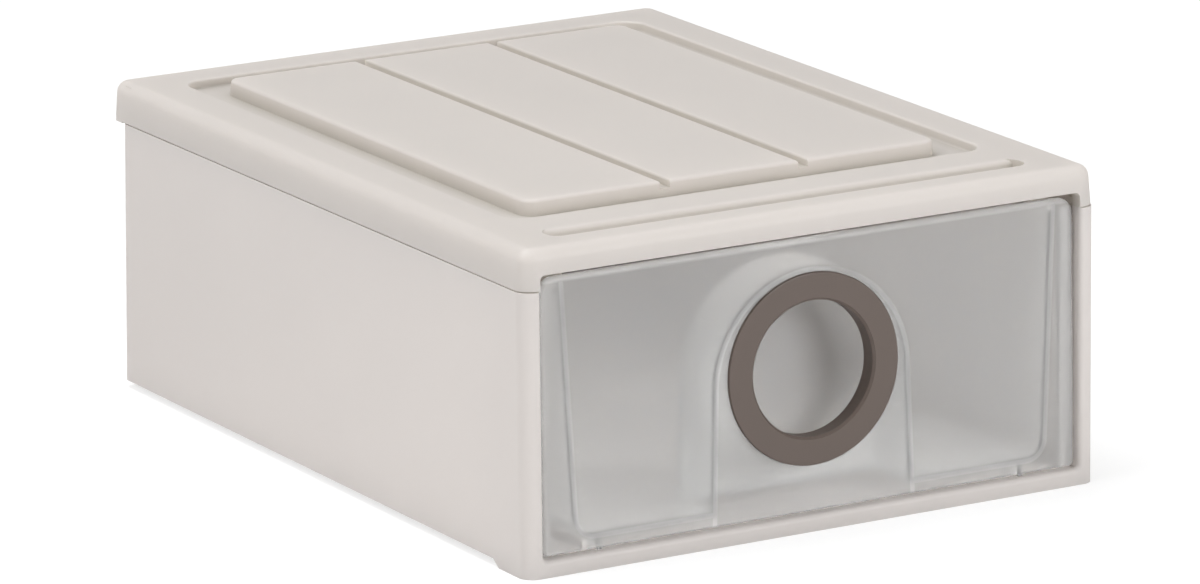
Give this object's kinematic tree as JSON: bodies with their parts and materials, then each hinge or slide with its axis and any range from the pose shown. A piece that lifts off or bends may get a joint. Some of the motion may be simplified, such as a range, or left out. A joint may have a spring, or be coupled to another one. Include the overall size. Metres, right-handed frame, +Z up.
{
  "type": "stackable drawer box",
  "caption": "Stackable plastic drawer box: off-white case with a press-fit cover, sliding frosted drawer with an open ring handle and a finger pocket.",
  "frame": {"origin": "middle of the box's footprint, on the surface it stands on", "axes": "+X to the right seen from the front, +Y from the front to the back, +Z up; the drawer opens towards -Y"},
  "size_m": [0.26, 0.3446, 0.1321],
  "materials": {
    "shell_plastic": "satin off-white polypropylene",
    "frosted_plastic": "frosted translucent polypropylene",
    "ring_plastic": "satin brown-grey plastic"
  },
  "bodies": {
    "case": {"case_body": "shell_plastic", "top_cover": "shell_plastic"},
    "drawer": {"drawer": "frosted_plastic", "ring_handle": "ring_plastic"}
  },
  "joints": [
    {"name": "drawer_slide", "type": "slide", "parent": "case", "child": "drawer", "axis": [0, -1, 0], "range_m": [0, 0.28]}
  ]
}
